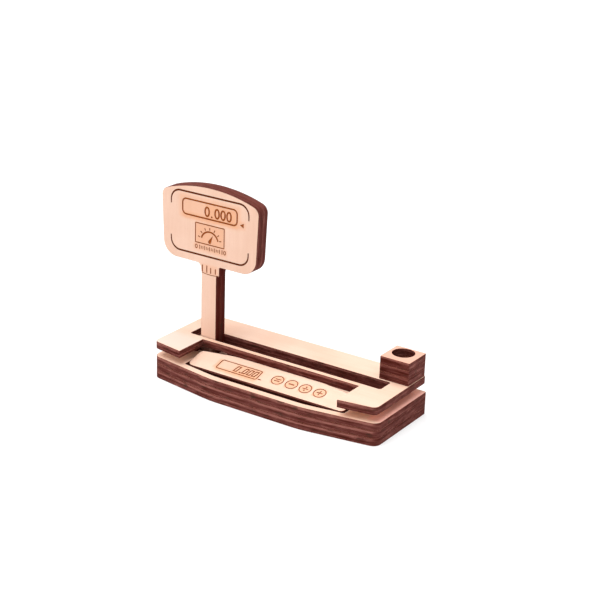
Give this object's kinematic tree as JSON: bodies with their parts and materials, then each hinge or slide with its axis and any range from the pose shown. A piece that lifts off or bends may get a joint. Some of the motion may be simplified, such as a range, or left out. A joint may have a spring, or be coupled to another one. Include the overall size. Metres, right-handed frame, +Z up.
{
  "type": "pen stand with card holder",
  "caption": "Plywood desk stand shaped like a weighing scale with a pole display, with a long slot for business cards and a block for a pen",
  "frame": {"origin": "middle of the base's underside, midway between its ends and between the middle of its bowed front and its straight rear", "axes": "+X along the base from the display's end to the pen block, +Y from the bowed front to the rear, +Z up"},
  "size_m": [0.1449, 0.0541, 0.1004],
  "materials": {
    "pale_plywood": "bare sanded birch plywood face, laser-engraved lines",
    "charred_plywood": "laser-cut plywood edge, charred dark brown with streaks along the plies"
  },
  "bodies": {
    "root": {"base_bottom_board": "pale_plywood", "base_middle_board": "pale_plywood", "base_top_board": "pale_plywood", "control_panel": "pale_plywood", "pan_spacer": "charred_plywood", "weighing_pan": "pale_plywood", "pen_block_lower_board": "charred_plywood", "pen_block_middle_board": "charred_plywood", "pen_block_upper_board": "pale_plywood", "display_front_board": "pale_plywood", "display_rear_board": "pale_plywood"}
  },
  "joints": []
}
